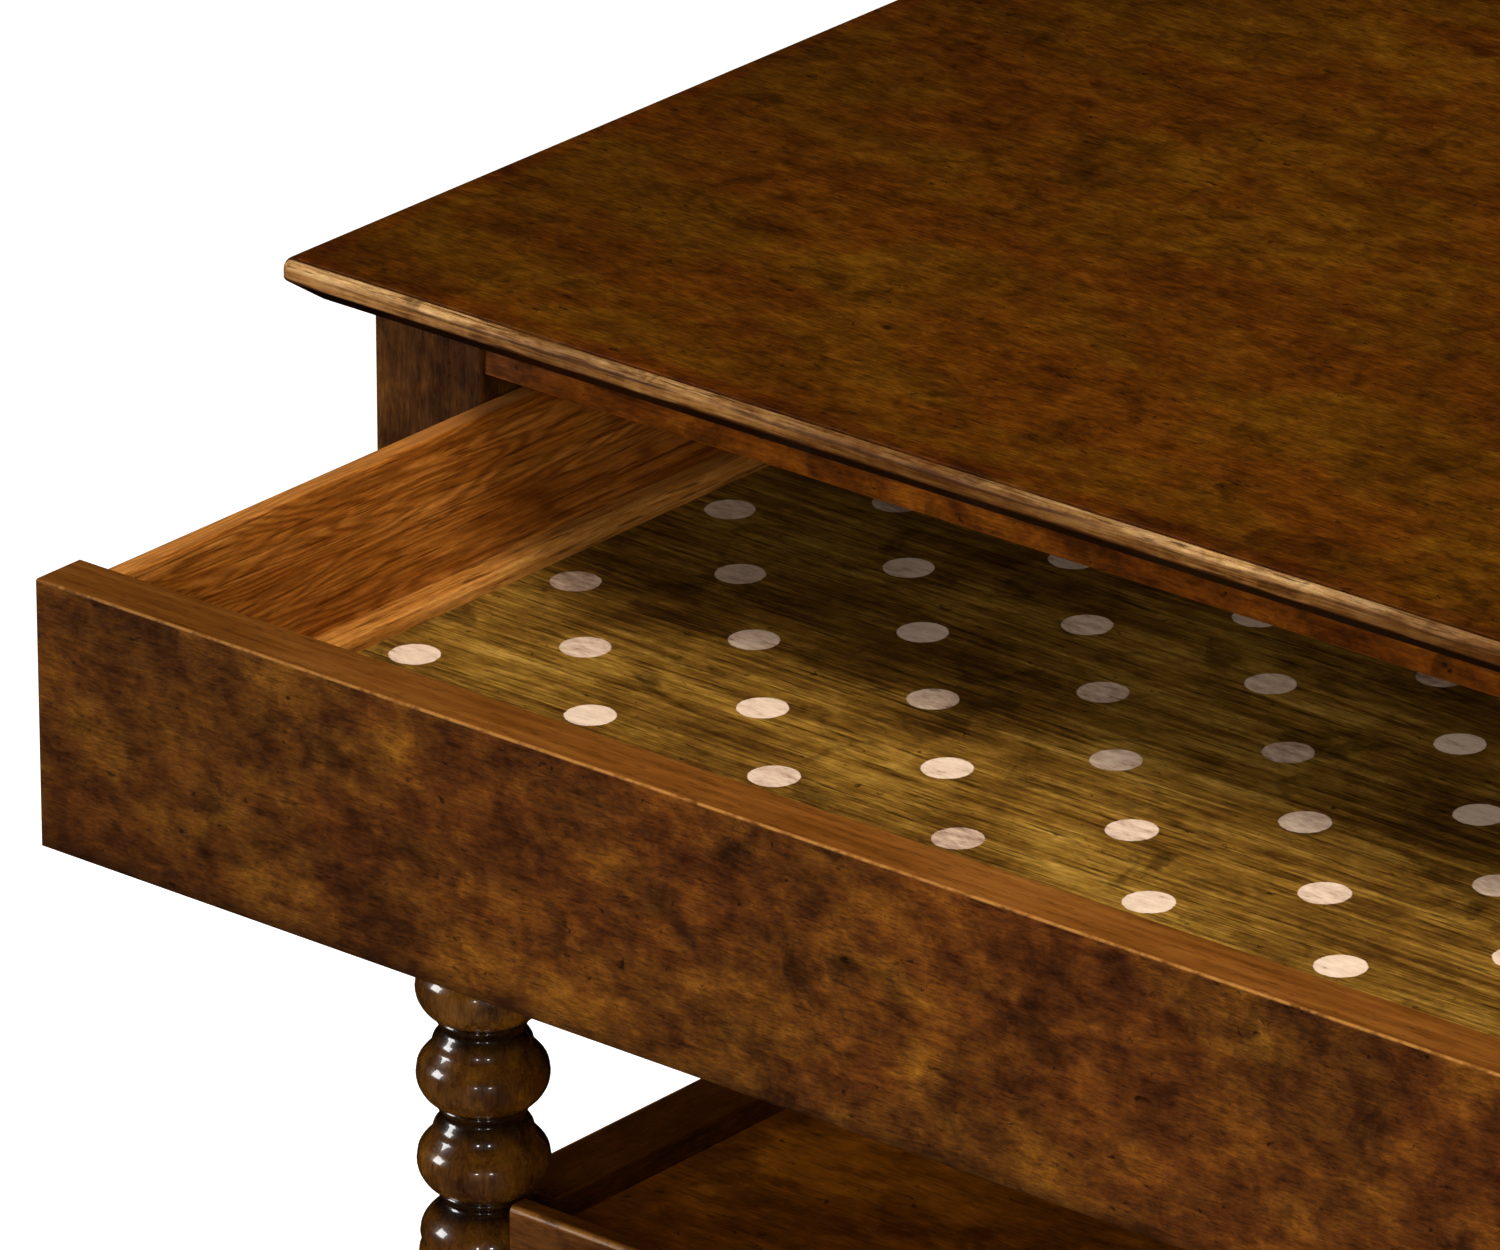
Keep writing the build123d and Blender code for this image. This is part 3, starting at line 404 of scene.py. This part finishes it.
# ---------------------------------------------------------------- drawer materials
def front_material():
    lo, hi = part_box("drawer_front")
    m = Mat("mottled_walnut_drawer_front", (0.60, 0.51, 0.15))
    colour, pores, grain, fig = wood(m, 0, FRONT_RAMP, 17.0, cloud=15.0, cloud_stretch=1.1, streak=200.0, streak_stretch=6.0,
                                     pore=900.0, pore_stretch=7.0, w=(0.36, 0.40, 0.24), pore_depth=0.6, specks=0.75, gain=2.6,
                                     red=FRONT_RED, blotch=0.5, fibre=0.34)
    # the top face is rubbed paler and shows its straight grain
    pale = [(0.30, (86, 46, 24)), (0.42, (114, 68, 40)), (0.52, (135, 84, 56)), (0.62, (152, 99, 72)), (0.74, (170, 117, 92))]
    g2 = m.noise(m.vec(along(0, 16.0, 260.0), (3, 1, 5)), 1.0, 6.0, 0.62)
    c2 = m.noise(m.vec(along(0, 3.0, 26.0), (3, 1, 5)), 1.0, 4.0, 0.6)
    top = m.ramp(m.math("ADD", m.math("MULTIPLY", g2, 0.55), m.math("MULTIPLY", c2, 0.45)), pale)
    top = m.mix(m.math("MULTIPLY", pores, 0.45), top, (60, 30, 8))
    up = m.remap(m.axis(2), hi.z - 0.0008, hi.z - 0.0001)
    colour = m.mix(up, colour, top)
    # pale line along the front top arris: partly wear, partly a painted highlight
    n1 = m.noise(m.vec((90, 90, 90), (1, 7, 2)), 1.0, 5.0, 0.7)
    arris = m.math("MULTIPLY", m.near(1, lo.y, 0.0013), m.near(2, hi.z, 0.0013))
    colour = m.mix(m.math("MULTIPLY", arris, m.remap(n1, 0.36, 0.56, 0.05, 0.80)), colour, (188, 138, 118))
    # painted darker toward the left end
    colour = m.mix(m.remap(m.axis(0), lo.x, lo.x + 0.34, 0.30, 0.0), colour, (22, 9, 2))
    foot = m.remap(m.axis(2), lo.z, lo.z + 0.010, 0.55, 0.0)
    colour = m.mix(foot, colour, (22, 9, 2))
    return surface(m, colour, pores, grain, rough=(0.38, 0.54), bump=0.28, depth=0.0004)


give(["drawer_front"], front_material())


def oak_material(name, axis, ramp, seed, top_z=None, flame=True, tint=(1.0, 1.0, 1.0)):
    """Oak with long open pores; the flat-sawn face shows drawn-out arches."""
    m = Mat(name, tint)
    colour, pores, grain, fig = wood(m, axis, ramp, seed, cloud=12.0, cloud_stretch=3.5, streak=190.0, streak_stretch=30.0,
                                     pore=640.0, pore_stretch=20.0, w=(0.24, 0.12, 0.64), pore_depth=0.7, speck_col=(58, 24, 4),
                                     gain=2.6, fibre=0.16)
    if flame:
        # growth rings of a flat-sawn board, cut at a low angle
        v = m.vec(along(axis, 9.0, 46.0), (seed, seed, seed))
        w1 = m.noise(v, 1.0, 2.0, 0.5)
        ring = m.math("FRACT", m.math("MULTIPLY", w1, 17.0))
        ring = m.remap(m.math("ABSOLUTE", m.math("SUBTRACT", ring, 0.5)), 0.10, 0.46)
        colour = m.mix(m.math("MULTIPLY", ring, 0.56), colour, (88, 40, 7))
    if top_z is not None:
        # top edges painted paler, as lit from above: painted light
        up = m.remap(m.axis(2), top_z - 0.0010, top_z - 0.0002)
        colour = m.mix(m.math("MULTIPLY", up, 0.30), colour, (190, 134, 78))
    return surface(m, colour, pores, grain, rough=(0.46, 0.62), bump=0.4, depth=0.0005)


for n, sd in (("drawer_side_left", 18.0), ("drawer_side_right", 19.0)):
    give([n], oak_material("drawer_oak_" + n, 1, OAK_RAMP, sd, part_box(n)[1].z, tint=(0.88, 0.80, 0.60)))
give(["drawer_back"], oak_material("drawer_oak_back", 0, OAK_RAMP, 20.0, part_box("drawer_back")[1].z))
for n, sd in (("drawer_slip_left", 21.0), ("drawer_slip_right", 22.0)):
    give([n], oak_material("slip_oak_" + n, 1, SLIP_RAMP, sd, flame=False, tint=(0.90, 0.78, 0.60)))


def bottom_material():
    """Olive-brown boarded bottom with a painted staggered lattice of round pale dots."""
    lo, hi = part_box("drawer_bottom")
    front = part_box("drawer_front")[0]
    m = Mat("dotted_bottom", (1.12, 1.00, 0.85))
    colour, pores, grain, fig = wood(m, 0, OLIVE_RAMP, 23.0, cloud=14.0, cloud_stretch=1.8, streak=150.0, streak_stretch=22.0,
                                     pore=560.0, pore_stretch=18.0, w=(0.34, 0.16, 0.50), pore_depth=0.75,
                                     specks=0.8, speck_col=(24, 12, 2), gain=2.9, blotch=0.55)
    rows = m.math("DIVIDE", m.math("SUBTRACT", m.axis(1), front.y + 0.17552), 0.04893)
    row = m.math("ROUND", rows)
    odd = m.math("ABSOLUTE", m.math("MODULO", row, 2.0))
    cols = m.math("DIVIDE", m.math("SUBTRACT", m.axis(0), front.x + 0.04064), 0.09334)
    cols = m.math("SUBTRACT", cols, m.math("MULTIPLY", odd, 0.5))
    col = m.math("ROUND", cols)
    # each dot is stencilled by hand, so its centre, size and tone vary a little
    cell = m.t.nodes.new("ShaderNodeCombineXYZ")
    m.put(cell.inputs[0], col)
    m.put(cell.inputs[1], row)
    m.put(cell.inputs[2], odd)
    rnd = m.t.nodes.new("ShaderNodeTexWhiteNoise")
    rnd.noise_dimensions = "3D"
    m.put(rnd.inputs["Vector"], cell.outputs[0])
    sep = m.t.nodes.new("ShaderNodeSeparateColor")
    m.put(sep.inputs[0], rnd.outputs["Color"])
    jx = m.math("MULTIPLY", m.math("SUBTRACT", sep.outputs[0], 0.5), 0.0016)
    jy = m.math("MULTIPLY", m.math("SUBTRACT", sep.outputs[1], 0.5), 0.0016)
    dx = m.math("ADD", m.math("MULTIPLY", m.math("SUBTRACT", cols, col), 0.09334), jx)
    dy = m.math("ADD", m.math("MULTIPLY", m.math("SUBTRACT", rows, row), 0.04893), jy)
    d = m.math("SQRT", m.math("ADD", m.math("MULTIPLY", dx, dx), m.math("MULTIPLY", dy, dy)))
    rim = m.noise(m.vec((300, 300, 300)), 1.0, 3.0, 0.6)
    d = m.math("ADD", d, m.math("MULTIPLY", m.math("SUBTRACT", rim, 0.5), 0.0011))
    disc = m.remap(d, 0.0101, 0.0107, 1.0, 0.0)
    for k, at, sign in ((0, 0.4225, 1), (1, 0.0385, 1)):
        side = m.math("ABSOLUTE", m.axis(k)) if k == 0 else m.axis(k)
        disc = m.math("MULTIPLY", disc, m.remap(side, at, at + 0.001, 1.0, 0.0))
    flat = m.remap(m.axis(2), hi.z - 0.0006, hi.z - 0.0002)
    disc = m.math("MULTIPLY", disc, flat)
    rub = m.noise(m.vec(along(0, 2.6, 240.0), (9, 4, 1)), 1.0, 5.0, 0.68)
    tone = m.ramp(m.math("ADD", m.math("MULTIPLY", rub, 0.75), m.math("MULTIPLY", sep.outputs[2], 0.25)),
                  [(0.28, (124, 98, 82)), (0.42, (178, 154, 138)), (0.54, (204, 184, 168)), (0.72, (222, 204, 188))])
    gone = m.remap(m.math("ADD", m.math("MULTIPLY", rub, 0.8), m.math("MULTIPLY", grain, 0.2)), 0.30, 0.40, 0.25, 1.0)
    mask = m.math("MULTIPLY", disc, m.math("MULTIPLY", gone, 0.97))
    colour = m.mix(mask, colour, tone)
    r = m.math("ADD", m.remap(grain, 0.3, 0.7, 0.46, 0.60, False), m.math("MULTIPLY", disc, 0.12))
    h = m.math("ADD", m.math("MULTIPLY", grain, 0.5), m.math("MULTIPLY", disc, 0.25))
    h = m.math("SUBTRACT", h, m.math("MULTIPLY", pores, 0.6))
    m.bump(h, 0.3, 0.0005)
    return m.finish(colour, r)


give(["drawer_bottom"], bottom_material())

# ---------------------------------------------------------------- hidden joinery
for n, ax, sd in (("runner_left", 1, 24.0), ("runner_right", 1, 25.0), ("drawer_guide_left", 1, 26.0), ("drawer_guide_right", 1, 27.0),
                  ("kicker_left", 1, 28.0), ("kicker_right", 1, 29.0), ("top_cross_bearer", 0, 30.0), ("pull_out_stops", 0, 31.0),
                  ("closing_stops", 0, 32.0), ("top_buttons", 0, 33.0), ("shelf_cleat_left", 1, 34.0), ("shelf_cleat_right", 1, 35.0),
                  ("shelf_stiffener", 1, 36.0)):
    give([n], oak_material("secondary_oak_" + n, ax, PLAIN_RAMP, sd, flame=False))


def steel_material():
    m = Mat("steel_screws")
    n = m.noise(m.vec((900, 900, 900)), 1.0, 4.0, 0.6)
    colour = m.ramp(n, [(0.3, (108, 106, 102)), (0.5, (150, 148, 144)), (0.72, (176, 174, 170))])
    rust = m.remap(m.noise(m.vec((260, 260, 260), (4, 4, 4)), 1.0, 4.0, 0.7), 0.56, 0.68)
    colour = m.mix(m.math("MULTIPLY", rust, 0.4), colour, (110, 66, 34))
    m.bump(n, 0.2, 0.0002)
    return m.finish(colour, m.remap(n, 0.3, 0.7, 0.28, 0.5, False), spec=0.5, metal=1.0)


give([n for n in nodes if n.endswith("_screws")], steel_material())


def glide_material():
    m = Mat("foot_glide_plastic")
    n = m.noise(m.vec((1400, 1400, 1400)), 1.0, 4.0, 0.6)
    scuff = m.noise(m.vec((220, 220, 60)), 1.0, 4.0, 0.6)
    colour = m.ramp(m.math("ADD", m.math("MULTIPLY", n, 0.4), m.math("MULTIPLY", scuff, 0.6)),
                    [(0.3, (34, 30, 27)), (0.5, (48, 43, 39)), (0.72, (74, 68, 62))])
    m.bump(n, 0.25, 0.0002)
    return m.finish(colour, m.remap(scuff, 0.3, 0.7, 0.42, 0.62, False))


give(["foot_glides"], glide_material())

# ---------------------------------------------------------------- floor and light
def floor():
    import bmesh
    bm = bmesh.new()
    bmesh.ops.create_grid(bm, x_segments=8, y_segments=8, size=14.0)
    me = bpy.data.meshes.new("studio_floor")
    bm.to_mesh(me)
    bm.free()
    ob = bpy.data.objects.new("studio_floor", me)
    scene.collection.objects.link(ob)
    ob.location.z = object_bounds()[0][2]
    m = Mat("pale_floor")
    n = m.noise(m.vec((3, 3, 3)), 1.0, 3.0, 0.5)
    m.put(m.b.inputs["Emission Color"], (1, 1, 1, 1))
    m.b.inputs["Emission Strength"].default_value = 0.72
    ob.visible_glossy = False
    me.materials.append(m.finish(m.ramp(n, [(0.3, (232, 232, 231)), (0.7, (238, 238, 237))]), 0.85, spec=0.2))


floor()


def area(name, at, look, size, power, size_y=None, colour=(1, 1, 1)):
    d = bpy.data.lights.new(name, "AREA")
    d.energy, d.color = power, colour
    d.shape = "RECTANGLE"
    d.size, d.size_y = size, size_y or size
    ob = bpy.data.objects.new(name, d)
    scene.collection.objects.link(ob)
    at = Vector(at)
    ob.location = at
    ob.rotation_euler = (Vector(look) - at).to_track_quat("-Z", "Y").to_euler()
    ob.visible_glossy = "fill" not in name
    return ob


MID = Vector((-0.3, -0.4, 0.6))
FLAT_B = Vector((CAM_B.x, CAM_B.y, 0)).normalized()
FLAT_R = Vector((CAM_R.x, CAM_R.y, 0)).normalized()


def spot_at(right, toward, up):
    return MID + FLAT_R * right + FLAT_B * toward + Vector((0, 0, up))


area("key_softbox", spot_at(-3.1, -0.05, 0.80), MID, 1.05, 64, 1.20)
area("overhead", spot_at(0.15, 0.9, 2.7), MID, 1.6, 84)
area("front_strip_a", spot_at(-0.85, 3.6, 0.0), MID, 0.24, 9, 0.20)
area("front_strip_b", spot_at(0.75, 3.6, 0.0), MID, 0.30, 9, 0.20)
area("front_fill", spot_at(-0.2, 3.4, 1.2), MID, 1.6, 74)
area("right_fill", spot_at(2.4, 2.2, 2.0), MID, 1.2, 36)

world = bpy.data.worlds.new("studio")
scene.world = world
world.use_nodes = True
bg = world.node_tree.nodes["Background"]
bg.inputs[0].default_value = (1, 1, 1, 1)
bg.inputs[1].default_value = 0.92
# the pale backdrop is only seen directly; the softboxes do all the lighting
for ray in ("diffuse", "glossy", "transmission", "scatter"):
    setattr(world.cycles_visibility, ray, False)

scene.view_settings.view_transform = "Standard"
scene.view_settings.look = "None"
scene.view_settings.exposure = 0.0
